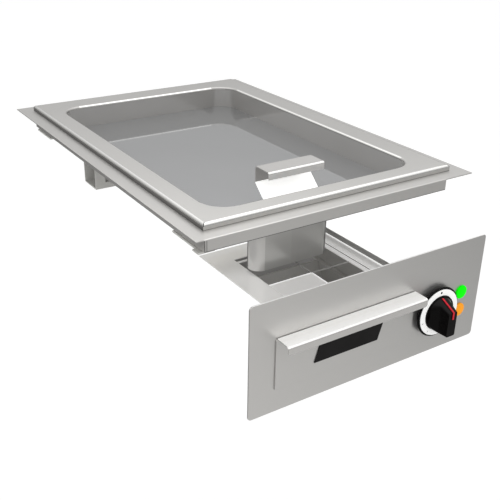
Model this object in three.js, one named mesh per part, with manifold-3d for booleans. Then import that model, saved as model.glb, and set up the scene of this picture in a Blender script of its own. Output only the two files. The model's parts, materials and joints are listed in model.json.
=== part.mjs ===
// Built-in induction griddle: a recessed cooking pan in a worktop plate, with a grease chute that
// drains into a drawer behind a separate control panel. Millimetres, +X to the right, +Y to the
// back, +Z up. The origin is on the underside of the worktop plate, halfway along its front strip.
import * as THREE from 'three';
import { mergeGeometries, mergeVertices } from 'three/addons/utils/BufferGeometryUtils.js';
import Module from 'manifold-3d';

const wasm = await Module();
wasm.setup();

// Clearances and helper sizes
const seatGap = 0.3;
const overrun = 1;
const arcSteps = 6;
const roundSteps = 24;

// Worktop plate
const plateSheet = 1.2;
const originInset = 11;
const frontLipDrop = 13.1;
const frontLipBend = 3;
const frontLipRightStop = 45.2;
const frontLipReturn = 4.5;
const skirtInset = 9.8;
const skirtSheet = 1.2;
const skirtBackStop = 57.3;
const clampLength = 53;
const clampWidth = 14;
const clampSheet = 2;
const clampOverhang = 2;
const clampFromFront = 14;
const clampFromBack = 12;
const clampTabWidth = 6;
const clampTabLength = 11.4;

// Raised rim round the pan
const rimInset = 20;
const rimLeftWidth = 28.5;
const rimRightWidth = 35.5;
const rimFrontWidth = 26.5;
const rimBackWidth = 42;
const rimHeight = 8;
const rimBend = 4;
const rimCorner = 1.5;

// Pan
const panWidth = 296;
const panCorner = 30;
const panLipBend = 3;
const panSheet = 1.5;
const panFall = 33;

// Griddle plate that closes the pan
const griddleThickness = 10;
const griddleOverlap = 4;

// Drain chute under the front of the pan
const chuteWidth = 118;
const chuteDepth = 29;
const chuteCorner = 14.4;
const chuteSheet = 1.5;
const chuteOffsetX = -1.1;
const chuteFromPan = 53.5;
const chuteEndGap = 4;

// Drain plug with its grip
const plugWidth = 84;
const plugOffsetX = 0.3;
const plugSheet = 1.5;
const plugSideGap = 0.8;
const plugSlope = 42 * THREE.MathUtils.DEG2RAD;
const plugWebFoot = 16;
const plugWebFromChuteFront = 32;
const plugGripHeight = 21.5;
const plugGripDepth = 30.5;
const plugGripLip = 10;
const plugBend = 2.5;
const drainBackGap = 10;

// Heating parts under the griddle plate
const insulationThickness = 4;
const coilOuterRadius = 82;
const coilInnerRadius = 28;
const coilThickness = 5;
const coilGap = 4;
const coilsFromChute = 19;
const ferriteWidth = 12;
const ferriteLength = 52;
const ferriteThickness = 5;
const ferriteCount = 4;
const carrierThickness = 2;
const carrierMargin = 12;
const carrierBoltRadius = 3;
const carrierBoltHeadRadius = 5.5;
const carrierBoltHeadHeight = 4;
const boltHoleGap = 0.4;
const sensorRadius = 8;
const sensorHeight = 8;
const terminalWidth = 60;
const terminalDepth = 25;
const terminalHeight = 18;

// Cross channels that carry the coil plate
const channelSheet = 1.5;
const channelWidth = 39;
const channelFall = 9;
const channelTopDrop = 2;
const rearChannelFromMiddle = 6;
const rearChannelHalfLength = 172;
const frontChannelFromCarrier = 3;
const frontChannelHalfLength = 120;

// Front panel on the face of the counter
const panelTopDrop = 94;
const panelLeftMargin = 36.6;
const panelRightMargin = 25;
const panelBottomMargin = 32.5;
const panelSheet = 2;
const panelCorner = 5;

// Grease drawer
const drawerFrontLeft = -98;
const drawerFrontWidth = 219.3;
const drawerFrontFromPanelTop = 52;
const drawerFrontHeight = 72;
const drawerFrontSheet = 1.7;
const drawerCutMargin = 7;
const drawerCutTopMargin = 6.5;
const drawerCutBottomMargin = 5;
const handleDepth = 24;
const handleLip = 11.5;
const handleSheet = 1.5;
const handleBend = 3;
const trayFromDrawerLeft = 69;
const trayWidth = 107;
const trayTopMargin = 8;
const trayBottomMargin = 8;
const trayDepth = 152;
const trayRampRun = 34;
const traySheet = 1.2;
const trayFlange = 5;
const labelWidth = 101;
const labelHeight = 30;
const labelThickness = 0.8;
const labelLeftFromDrawer = 57;
const labelBottomMargin = 19.5;
const labelSlant = 9.3;

// Cover behind the panel, with the windows that the grease falls through
const coverFromPanelTop = 27;
const coverSheet = 1.2;
const coverLeftMargin = 62.5;
const coverRightMargin = 21.2;
const coverBackInset = 2.5;
const coverUpstand = 8.5;
const coverFrontFold = 14;
const windowLeftMargin = 33.2;
const windowRightMargin = 30.2;
const windowFront = 8;
const windowFromChuteBack = 14;
const windowRib = 1.6;
const windowLeftWidth = 66.1;
const windowCrossY = 60;
const slotFromWindow = 5;
const slotWidth = 6;
const deflectorSheet = 1.2;
const deflectorRun = 31;
const deflectorDrop = 26;
const deflectorSteepRun = 9;
const deflectorSteepDrop = 14;
const deflectorLand = 8;
const runnerSheet = 1.2;
const runnerSideGap = 1.5;
const runnerShelf = 5;
const runnerTopFlange = 8;
const runnerNotch = 25;
const housingSheet = 1.2;
const housingFlange = 12;
const housingFromCoverBack = 4;
const housingBottomMargin = 5;
const housingLeftFall = 24;
const housingSlantRun = 78;
const housingRightStep = 16;
const hangerWidth = 100;
const hangerRightMargin = 9.2;
const hangerFoot = 15;
const hangerSheet = 1.5;
const hangerInset = 5;

// Control knob, dial and lamps
const knobFromPanelTop = 92;
const knobMargin = 4.5;
const bezelRadius = 36.2;
const bezelHeight = 8;
const bezelBodyRadius = 27;
const bezelRim = 2;
const dialOuterRadius = 33.5;
const dialInnerRadius = 25;
const dialThickness = 1;
const knobBaseRadius = 24.5;
const knobBaseHeight = 2.5;
const knobHeight = 25;
const knobFootWidth = 42;
const knobFootCorner = 19;
const knobFootTop = 22.5;
const knobWaistShare = 0.4;
const knobWaistWidth = 20;
const knobWaistCorner = 4;
const knobWingWidth = 15;
const knobWingCorner = 2;
const knobWingTop = 11.3;
const knobWingBottom = 24.6;
const knobRunningGap = 0.5;
const pointerWidth = 2.4;
const pointerThickness = 0.8;
const pointerFall = 9.8;
const shaftRadius = 3;
const shaftHoleGap = 1;
const potRadius = 12;
const potLength = 20;
const potBushRadius = 5;
const nutRadius = 8;
const nutThickness = 2;
const lampMargin = 2;
const lampUpperRise = 13.5;
const lampLowerDrop = 14;
const lampRadius = 9.8;
const lampDome = 3;
const lampBodyRadius = 6;
const lampBodyLength = 24;
const lampHoleGap = 0.5;

// Places that follow from the sizes
const plateWidth = panWidth + rimLeftWidth + rimRightWidth + 2 * rimInset;
const plateLeft = -plateWidth / 2;
const plateFront = -originInset;
const rimTop = plateSheet + rimHeight;
const cookTop = rimTop - panFall;
const griddleBottom = cookTop - griddleThickness;
const panOffsetX = (rimLeftWidth - rimRightWidth) / 2;
const panFront = plateFront + rimInset + rimFrontWidth;
const chuteFront = panFront + chuteFromPan;
const chuteBack = chuteFront + chuteDepth;
const chuteCentreY = chuteFront + chuteDepth / 2;
const carrierFront = chuteBack + coilsFromChute;
const coilFrontY = carrierFront + carrierMargin + coilOuterRadius;
const coilBackY = coilFrontY + 2 * coilOuterRadius + coilGap;
const carrierBack = coilBackY + coilOuterRadius + carrierMargin;
const carrierHalfWidth = coilOuterRadius + carrierMargin + carrierMargin;
const panBack = carrierBack;
const panDepth = panBack - panFront;
const panCentreY = (panFront + panBack) / 2;
const plateBack = panBack + rimBackWidth + rimInset;
const plateDepth = plateBack - plateFront;
const insulationTop = griddleBottom - seatGap;
const coilTop = insulationTop - insulationThickness - seatGap;
const ferriteTop = coilTop - coilThickness - seatGap;
const carrierTop = ferriteTop - ferriteThickness - seatGap;
const carrierBottom = carrierTop - carrierThickness;
const channelBottom = carrierBottom - channelFall;
const rearChannelFront = (coilFrontY + coilBackY) / 2 + rearChannelFromMiddle;
const frontChannelFront = carrierFront + frontChannelFromCarrier;
const panelBack = plateFront;
const panelFront = panelBack - panelSheet;
const panelTop = -panelTopDrop;
const drawerFrontRight = drawerFrontLeft + drawerFrontWidth;
const drawerFrontTop = panelTop - drawerFrontFromPanelTop;
const drawerFrontBottom = drawerFrontTop - drawerFrontHeight;
const drawerPlateBack = panelFront - seatGap;
const drawerPlateFront = drawerPlateBack - drawerFrontSheet;
const knobX = drawerFrontRight + knobMargin + bezelRadius;
const knobZ = panelTop - knobFromPanelTop;
const lampX = knobX + bezelRadius + lampMargin + lampRadius;
const lampUpperZ = knobZ + lampUpperRise;
const lampLowerZ = knobZ - lampLowerDrop;
const panelLeft = drawerFrontLeft - panelLeftMargin;
const panelRight = lampX + lampRadius + panelRightMargin;
const panelBottom = drawerFrontBottom - panelBottomMargin;
const trayFront = panelFront;
const trayTop = drawerFrontTop - trayTopMargin;
const trayBottom = drawerFrontBottom + trayBottomMargin;
const trayLeft = drawerFrontLeft + trayFromDrawerLeft;
const trayRight = trayLeft + trayWidth;
const coverTop = panelTop - coverFromPanelTop;
const coverBottom = coverTop - coverSheet;
const coverFront = panelBack + seatGap;
const coverBack = frontChannelFront + channelWidth - coverBackInset;
const coverLeft = trayLeft - coverLeftMargin;
const coverRight = trayRight + coverRightMargin;
const windowLeft = coverLeft + windowLeftMargin;
const windowRight = coverRight - windowRightMargin;
const windowCrossX = windowLeft + windowLeftWidth;
const windowBack = chuteBack + windowFromChuteBack;
const slotFront = windowBack + slotFromWindow;
const housingBack = coverBack - housingFromCoverBack;
const housingFront = housingBack - housingSheet;
const chuteBottom = coverTop + chuteEndGap;
const plugWebBack = chuteFront + plugWebFromChuteFront;
const bezelFront = panelFront - bezelHeight;

// Materials
const brushed = { roughness: 0.35, metalness: 0.9 };
const steel = () => new THREE.MeshStandardMaterial({ color: 0xbab8b3, ...brushed });
const darkSteel = () => new THREE.MeshStandardMaterial({ color: 0x8d8c88, ...brushed });
const griddleSteel = () =>
  new THREE.MeshStandardMaterial({ color: 0xa0a4a8, roughness: 0.12, metalness: 0.95 });
const plastic = (color) => new THREE.MeshStandardMaterial({ color, roughness: 0.4, metalness: 0 });

const griddle = new THREE.Group();

function add(name, geometry, material) {
  const mesh = new THREE.Mesh(geometry, material);
  mesh.name = name;
  griddle.add(mesh);
}

// Solids for joining and cutting
function solid(geometry) {
  const bare = geometry.index ? geometry.toNonIndexed() : geometry.clone();
  bare.deleteAttribute('normal');
  bare.deleteAttribute('uv');
  const merged = mergeVertices(bare);
  return new wasm.Manifold(
    new wasm.Mesh({
      numProp: 3,
      vertProperties: merged.attributes.position.array,
      triVerts: new Uint32Array(merged.index.array),
    }),
  );
}

function geometryOf(body) {
  const mesh = body.getMesh();
  const geometry = new THREE.BufferGeometry();
  const corners = [];
  for (const index of mesh.triVerts) {
    const start = index * mesh.numProp;
    corners.push(...mesh.vertProperties.subarray(start, start + 3));
  }
  geometry.setAttribute('position', new THREE.Float32BufferAttribute(corners, 3));
  geometry.computeVertexNormals();
  return geometry;
}

function cut(geometry, ...cutters) {
  let body = solid(geometry);
  for (const cutter of cutters) body = body.subtract(solid(cutter));
  return geometryOf(body);
}

function join(geometry, ...others) {
  let body = solid(geometry);
  for (const other of others) body = body.add(solid(other));
  return geometryOf(body);
}

function box(x0, x1, y0, y1, z0, z1) {
  const geometry = new THREE.BoxGeometry(x1 - x0, y1 - y0, z1 - z0);
  return geometry.translate((x0 + x1) / 2, (y0 + y1) / 2, (z0 + z1) / 2);
}

// An outline in X and Y, as points that go round anticlockwise
function roundedOutline(width, depth, corner, centreX = 0, centreY = 0) {
  const points = [];
  const signs = [
    [1, 1],
    [-1, 1],
    [-1, -1],
    [1, -1],
  ];
  signs.forEach(([signX, signY], quarter) => {
    const x = centreX + signX * (width / 2 - corner);
    const y = centreY + signY * (depth / 2 - corner);
    for (let step = 0; step <= arcSteps; step += 1) {
      const angle = ((quarter + step / arcSteps) * Math.PI) / 2;
      points.push(new THREE.Vector2(x + corner * Math.cos(angle), y + corner * Math.sin(angle)));
    }
  });
  return points;
}

// A closed body through outlines that lie one above the other, each with as many points
function loft(layers) {
  const count = layers[0].outline.length;
  const positions = [];
  const index = [];
  for (const { outline, z } of layers) for (const p of outline) positions.push(p.x, p.y, z);
  for (let layer = 0; layer < layers.length - 1; layer += 1) {
    for (let i = 0; i < count; i += 1) {
      const a = layer * count + i;
      const b = layer * count + ((i + 1) % count);
      index.push(a, b, b + count, a, b + count, a + count);
    }
  }
  const lowest = THREE.ShapeUtils.triangulateShape(layers[0].outline, []);
  const highest = THREE.ShapeUtils.triangulateShape(layers[layers.length - 1].outline, []);
  const top = (layers.length - 1) * count;
  for (const [a, b, c] of lowest) index.push(a, c, b);
  for (const [a, b, c] of highest) index.push(top + a, top + b, top + c);
  const geometry = new THREE.BufferGeometry();
  geometry.setAttribute('position', new THREE.Float32BufferAttribute(positions, 3));
  geometry.setIndex(index);
  return geometry;
}

function anticlockwise(points) {
  return THREE.ShapeUtils.isClockWise(points) ? [...points].reverse() : points;
}

function prism(points, z0, z1) {
  const outline = anticlockwise(points);
  return loft([
    { outline, z: z0 },
    { outline, z: z1 },
  ]);
}

function swapAxes(geometry, x, y, z) {
  return geometry.applyMatrix4(new THREE.Matrix4().makeBasis(x, y, z));
}

const axisX = new THREE.Vector3(1, 0, 0);
const axisY = new THREE.Vector3(0, 1, 0);
const axisZ = new THREE.Vector3(0, 0, 1);

// A profile of [y, z] points pulled along X
function alongX(profile, x0, x1) {
  const outline = profile.map(([y, z]) => new THREE.Vector2(y, z));
  return swapAxes(prism(outline, x0, x1), axisY, axisZ, axisX);
}

// A profile of [x, z] points pulled along Y; prism heights run the other way along Y
function alongY(profile, y0, y1) {
  const outline = profile.map(([x, z]) => new THREE.Vector2(x, z));
  return swapAxes(prism(outline, -y1, -y0), axisX, axisZ, axisY.clone().negate());
}

function cylinderZ(radius, x, y, z0, z1, steps = roundSteps) {
  const geometry = new THREE.CylinderGeometry(radius, radius, z1 - z0, steps);
  return geometry.rotateX(Math.PI / 2).translate(x, y, (z0 + z1) / 2);
}

function cylinderX(radius, x0, x1, y, z) {
  const geometry = new THREE.CylinderGeometry(radius, radius, x1 - x0, roundSteps * 2);
  return geometry.rotateZ(Math.PI / 2).translate((x0 + x1) / 2, y, z);
}

// A round piece on the panel: a closed profile of [radius, y] points turned about an axis along Y
function turnedY(profile, x, z) {
  const points = anticlockwise(profile.map(([radius, y]) => new THREE.Vector2(radius, y)));
  return new THREE.LatheGeometry([...points, points[0]], roundSteps * 2).translate(x, 0, z);
}

function discY(radius, x, z, y0, y1) {
  return turnedY([[0, y0], [radius, y0], [radius, y1], [0, y1]], x, z);
}

// The corner of a bent sheet in a profile, from one direction to the next
function bendPoints(centreA, centreB, radius, startAngle, endAngle) {
  const points = [];
  for (let step = 0; step <= arcSteps; step += 1) {
    const angle = startAngle + ((endAngle - startAngle) * step) / arcSteps;
    points.push([centreA + radius * Math.cos(angle), centreB + radius * Math.sin(angle)]);
  }
  return points;
}

// A strip of sheet bent along a path of [a, b] points: the path is its outer side, and the
// strip lies to the right of it
function bentStrip(path, sheet) {
  const inner = path.map((point, i) => {
    const before = path[Math.max(i - 1, 0)];
    const after = path[Math.min(i + 1, path.length - 1)];
    const inDirection = new THREE.Vector2(point[0] - before[0], point[1] - before[1]).normalize();
    const outDirection = new THREE.Vector2(after[0] - point[0], after[1] - point[1]).normalize();
    const along = inDirection.clone().add(outDirection).normalize();
    const cosine = Math.abs(along.dot(i === 0 ? outDirection : inDirection));
    const reach = sheet / cosine;
    return [point[0] + along.y * reach, point[1] - along.x * reach];
  });
  return [...path, ...inner.reverse()];
}

function rimOutline(inset) {
  return roundedOutline(
    plateWidth - 2 * rimInset - 2 * inset,
    plateDepth - 2 * rimInset - 2 * inset,
    rimCorner,
    0,
    (plateFront + plateBack) / 2,
  );
}

function panOutline(outset) {
  return roundedOutline(
    panWidth + 2 * outset,
    panDepth + 2 * outset,
    panCorner + outset,
    panOffsetX,
    panCentreY,
  );
}

// The worktop plate, its front lip, the raised rim and the pan's side walls are one welded sheet
function makeTopFrame() {
  const rimLayers = [{ outline: rimOutline(0), z: 0 }];
  for (let step = 0; step <= arcSteps; step += 1) {
    const angle = ((step / arcSteps) * Math.PI) / 2;
    const inset = rimBend * (1 - Math.cos(angle));
    rimLayers.push({ outline: rimOutline(inset), z: rimTop - rimBend * (1 - Math.sin(angle)) });
  }
  const mouthLayers = [{ outline: panOutline(0), z: griddleBottom }];
  for (let step = 0; step <= arcSteps; step += 1) {
    const angle = ((step / arcSteps) * Math.PI) / 2;
    const outset = panLipBend * (1 - Math.cos(angle));
    mouthLayers.push({ outline: panOutline(outset), z: rimTop - panLipBend * (1 - Math.sin(angle)) });
  }
  mouthLayers.push({ outline: panOutline(panLipBend), z: rimTop + overrun });

  const plate = box(plateLeft, -plateLeft, plateFront, plateBack, 0, plateSheet);
  const lipLeft = plateLeft + skirtInset;
  const lipRight = -plateLeft - frontLipRightStop;
  const lip = box(lipLeft, lipRight, plateFront, plateFront + plateSheet, -frontLipDrop, plateSheet);
  const bendY = plateFront + frontLipBend;
  const bendZ = plateSheet - frontLipBend;
  const bendCutter = cut(
    box(lipLeft, lipRight, plateFront - overrun, bendY, bendZ, plateSheet + overrun),
    cylinderX(frontLipBend, lipLeft - overrun, lipRight + overrun, bendY, bendZ),
  );
  const bendFill = box(lipLeft, lipRight, plateFront, bendY, bendZ, plateSheet);
  const hollow = cut(
    prism(rimOutline(plateSheet), -overrun, rimTop - plateSheet),
    prism(panOutline(panSheet), -overrun - overrun, rimTop),
  );
  const wall = prism(panOutline(panSheet), cookTop + seatGap, rimTop - rimBend);
  const lipReturn = box(lipLeft, lipLeft + plateSheet, plateFront, plateFront + frontLipReturn,
    -frontLipDrop, plateSheet);
  const shell = cut(join(plate, lip, lipReturn, bendFill, loft(rimLayers)), hollow, bendCutter);
  add('top_frame', cut(join(shell, wall), loft(mouthLayers)), steel());
}

function makeSkirts() {
  const left = plateLeft + skirtInset;
  const sideFront = plateFront + frontLipReturn + seatGap;
  const sideBack = plateBack - skirtBackStop;
  const top = -seatGap;
  add('skirt_left', box(left, left + skirtSheet, sideFront, sideBack, -frontLipDrop, top), steel());
  const rightFront = plateFront + frontLipRightStop;
  add('skirt_right', box(-left - skirtSheet, -left, rightFront, sideBack, -frontLipDrop, top), steel());
  const rear = plateBack - skirtInset;
  const rearHalf = plateWidth / 2 - frontLipRightStop;
  add('skirt_rear', box(-rearHalf, rearHalf, rear - skirtSheet, rear, -frontLipDrop, top), steel());
  const clampTop = -frontLipDrop - seatGap;
  const clampBottom = clampTop - clampSheet;
  const outer = left - clampOverhang;
  const inner = left + clampWidth;
  const clampFront = plateFront + clampFromFront;
  const clampRear = sideBack - clampFromBack - clampLength;
  const places = [
    ['clamp_rear_left', outer, inner, clampRear],
    ['clamp_rear_right', -inner, -outer, clampRear],
    ['clamp_front_right', -inner, -outer, rightFront],
  ];
  for (const [name, x0, x1, y] of places) {
    add(name, box(x0, x1, y, y + clampLength, clampBottom, clampTop), darkSteel());
  }
  const bar = box(outer, inner, clampFront, clampFront + clampLength, clampBottom, clampTop);
  const tabFront = clampFront - clampTabLength;
  const tab = box(left - clampTabWidth, inner, tabFront, clampFront + overrun, clampBottom, clampTop);
  add('clamp_front_left', join(bar, tab), darkSteel());
}

function makeGriddlePlate() {
  const outline = panOutline(panSheet + griddleOverlap);
  const plate = prism(outline, griddleBottom, cookTop);
  const holeHalf = plugWidth / 2 + plugSideGap;
  const holeFront = chuteFront + chuteSheet;
  const holeBack = plugWebBack - plugWebFoot / Math.tan(plugSlope) + drainBackGap;
  const drain = box(
    plugOffsetX - holeHalf,
    plugOffsetX + holeHalf,
    holeFront,
    holeBack,
    griddleBottom - overrun,
    cookTop + overrun,
  );
  add('griddle_plate', cut(plate, drain), griddleSteel());
}

function chuteOutline(inset) {
  return roundedOutline(
    chuteWidth - 2 * inset,
    chuteDepth - 2 * inset,
    chuteCorner - inset,
    chuteOffsetX,
    chuteCentreY,
  );
}

function makeDrainChute() {
  const top = griddleBottom - seatGap;
  const tube = prism(chuteOutline(0), chuteBottom, top);
  const bore = prism(chuteOutline(chuteSheet), chuteBottom - overrun, top + overrun);
  add('drain_chute', cut(tube, bore), steel());
}

// One bent strip: a lip and a grip above the pan, a web down behind it, and a slanted plate
// that reaches through the drain hole
function makeDrainPlug() {
  const webFoot = cookTop + plugWebFoot;
  const gripTop = webFoot + plugGripHeight;
  const gripFront = plugWebBack - plugGripDepth;
  const tipBack = chuteFront + chuteSheet + seatGap + plugSheet * Math.sin(plugSlope);
  const slantRun = plugWebBack - tipBack;
  const slantDrop = slantRun * Math.tan(plugSlope);
  const path = [
    [gripFront, gripTop - plugGripLip],
    ...bendPoints(gripFront + plugBend, gripTop - plugBend, plugBend, Math.PI, Math.PI / 2),
    ...bendPoints(plugWebBack - plugBend, gripTop - plugBend, plugBend, Math.PI / 2, 0),
    [plugWebBack, webFoot],
    [plugWebBack - slantRun, webFoot - slantDrop],
  ];
  const left = plugOffsetX - plugWidth / 2;
  add('drain_plug', alongX(bentStrip(path, plugSheet), left, left + plugWidth), steel());
}

function makeHeating() {
  const insulation = prism(
    roundedOutline(2 * carrierHalfWidth, carrierBack - carrierFront, carrierMargin, panOffsetX,
      (carrierFront + carrierBack) / 2),
    insulationTop - insulationThickness,
    insulationTop,
  );
  const carrier = prism(
    roundedOutline(2 * carrierHalfWidth, carrierBack - carrierFront, carrierMargin, panOffsetX,
      (carrierFront + carrierBack) / 2),
    carrierBottom,
    carrierTop,
  );
  const boltX = carrierHalfWidth - carrierMargin;
  const boltPlaces = [
    ['front_left', panOffsetX - boltX, carrierFront + carrierMargin],
    ['front_right', panOffsetX + boltX, carrierFront + carrierMargin],
    ['rear_left', panOffsetX - boltX, carrierBack - carrierMargin],
    ['rear_right', panOffsetX + boltX, carrierBack - carrierMargin],
  ];
  const boltHoles = boltPlaces.map(([, x, y]) =>
    cylinderZ(carrierBoltRadius + boltHoleGap, x, y, carrierBottom - overrun, insulationTop + overrun));
  const sensorHole = cylinderZ(sensorRadius + boltHoleGap, panOffsetX, coilBackY,
    carrierBottom, insulationTop + overrun);
  add('insulation_sheet', cut(insulation, sensorHole, ...boltHoles), plastic(0xe6e2d8));
  add('coil_carrier', cut(carrier, ...boltHoles), darkSteel());
  for (const [name, x, y] of boltPlaces) {
    const headTop = carrierBottom - seatGap;
    const head = cylinderZ(carrierBoltHeadRadius, x, y, headTop - carrierBoltHeadHeight, headTop, 6);
    const shank = cylinderZ(carrierBoltRadius, x, y, headTop - overrun, insulationTop);
    add(`carrier_bolt_${name}`, join(head, shank), darkSteel());
  }
  const coils = [['front', coilFrontY], ['rear', coilBackY]];
  for (const [where, y] of coils) {
    const ring = [
      new THREE.Vector2(coilInnerRadius, 0),
      new THREE.Vector2(coilOuterRadius, 0),
      new THREE.Vector2(coilOuterRadius, coilThickness),
      new THREE.Vector2(coilInnerRadius, coilThickness),
      new THREE.Vector2(coilInnerRadius, 0),
    ];
    const coil = new THREE.LatheGeometry(ring, roundSteps * 2);
    coil.rotateX(Math.PI / 2).translate(panOffsetX, y, coilTop - coilThickness);
    add(`induction_coil_${where}`, coil, plastic(0xa86f43));
    for (let number = 0; number < ferriteCount; number += 1) {
      const angle = ((number + 0.5) / ferriteCount) * 2 * Math.PI;
      const middle = (coilInnerRadius + coilOuterRadius) / 2;
      const bar = new THREE.BoxGeometry(ferriteLength, ferriteWidth, ferriteThickness);
      bar.translate(middle, 0, 0).rotateZ(angle);
      bar.translate(panOffsetX, y, ferriteTop - ferriteThickness / 2);
      add(`ferrite_${where}_${number + 1}`, bar, plastic(0x3a3a3c));
    }
  }
  add('plate_sensor', cylinderZ(sensorRadius, panOffsetX, coilBackY,
    insulationTop - sensorHeight, insulationTop), darkSteel());
  const terminalTop = carrierBottom - seatGap;
  add('terminal_block', box(panOffsetX - terminalWidth / 2, panOffsetX + terminalWidth / 2,
    coilFrontY, coilFrontY + terminalDepth, terminalTop - terminalHeight, terminalTop), plastic(0xd9d4c6));
}

// Open channels across the unit; their walls stand tall only beside the pan
function makeChannels() {
  const channels = [
    ['rear_channel', rearChannelFront, rearChannelHalfLength],
    ['front_channel', frontChannelFront, frontChannelHalfLength],
  ];
  const clearHalf = panWidth / 2 + panSheet + griddleOverlap + seatGap;
  for (const [name, front, halfLength] of channels) {
    const back = front + channelWidth;
    const outer = box(-halfLength, halfLength, front, back, channelBottom, -channelTopDrop);
    const inner = box(-halfLength - overrun, halfLength + overrun, front + channelSheet,
      back - channelSheet, channelBottom + channelSheet, 0);
    const clear = box(panOffsetX - clearHalf, panOffsetX + clearHalf, front - overrun,
      back + overrun, carrierBottom - seatGap, 0);
    add(name, cut(outer, inner, clear), darkSteel());
  }
}

// A flat piece standing in the X and Z plane, cut to a rounded outline
function uprightPlate(left, right, bottom, top, corner, front, back) {
  const outline = roundedOutline(right - left, top - bottom, corner, (left + right) / 2, (bottom + top) / 2);
  return alongY(outline.map((p) => [p.x, p.y]), front, back);
}

function makeFrontPanel() {
  const panel = uprightPlate(panelLeft, panelRight, panelBottom, panelTop, panelCorner, panelFront, panelBack);
  const cutFront = panelFront - overrun;
  const cutBack = panelBack + overrun;
  const drawerCut = box(
    drawerFrontLeft + drawerCutMargin,
    drawerFrontRight - drawerCutMargin,
    cutFront,
    cutBack,
    drawerFrontBottom + drawerCutBottomMargin,
    drawerFrontTop - drawerCutTopMargin,
  );
  const potHole = discY(potBushRadius + boltHoleGap, knobX, knobZ, cutFront, cutBack);
  const lampHoles = [lampUpperZ, lampLowerZ].map((z) =>
    discY(lampBodyRadius + lampHoleGap, lampX, z, cutFront, cutBack));
  add('front_panel', cut(panel, drawerCut, potHole, ...lampHoles), steel());
}

function makeDrawer() {
  const frontTop = drawerFrontTop - handleSheet - seatGap;
  add('drawer_front', box(drawerFrontLeft, drawerFrontRight, drawerPlateFront, drawerPlateBack,
    drawerFrontBottom, frontTop), steel());
  const handleFront = drawerPlateBack - handleDepth;
  const path = [
    [handleFront, drawerFrontTop - handleLip],
    ...bendPoints(handleFront + handleBend, drawerFrontTop - handleBend, handleBend, Math.PI, Math.PI / 2),
    [drawerPlateBack, drawerFrontTop],
  ];
  const handleLeft = drawerFrontLeft + handleSheet;
  add('drawer_handle', alongX(bentStrip(path, handleSheet), handleLeft, drawerFrontRight), steel());

  const back = trayFront + trayDepth;
  const rampFoot = back - trayRampRun;
  const outer = [[trayFront, trayBottom], [rampFoot, trayBottom], [back, trayTop], [trayFront, trayTop]];
  const inner = [
    [trayFront + traySheet, trayBottom + traySheet],
    [rampFoot - traySheet, trayBottom + traySheet],
    [back - traySheet - traySheet, trayTop + overrun],
    [trayFront + traySheet, trayTop + overrun],
  ];
  const shell = cut(alongX(outer, trayLeft, trayRight),
    alongX(inner, trayLeft + traySheet, trayRight - traySheet));
  const rims = [
    box(trayLeft - trayFlange, trayLeft + traySheet, panelBack, back, trayTop - traySheet, trayTop),
    box(trayRight - traySheet, trayRight + trayFlange, panelBack, back, trayTop - traySheet, trayTop),
  ];
  add('grease_tray', join(shell, ...rims), steel());

  const labelLeft = drawerFrontLeft + labelLeftFromDrawer;
  const labelBottom = drawerFrontBottom + labelBottomMargin;
  const labelOutline = [
    [labelLeft, labelBottom],
    [labelLeft + labelWidth, labelBottom],
    [labelLeft + labelWidth + labelSlant, labelBottom + labelHeight],
    [labelLeft + labelSlant, labelBottom + labelHeight],
  ];
  const labelBack = drawerPlateFront - seatGap;
  add('blank_plate', alongY(labelOutline, labelBack - labelThickness, labelBack), plastic(0x1e1c1d));
}

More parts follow.
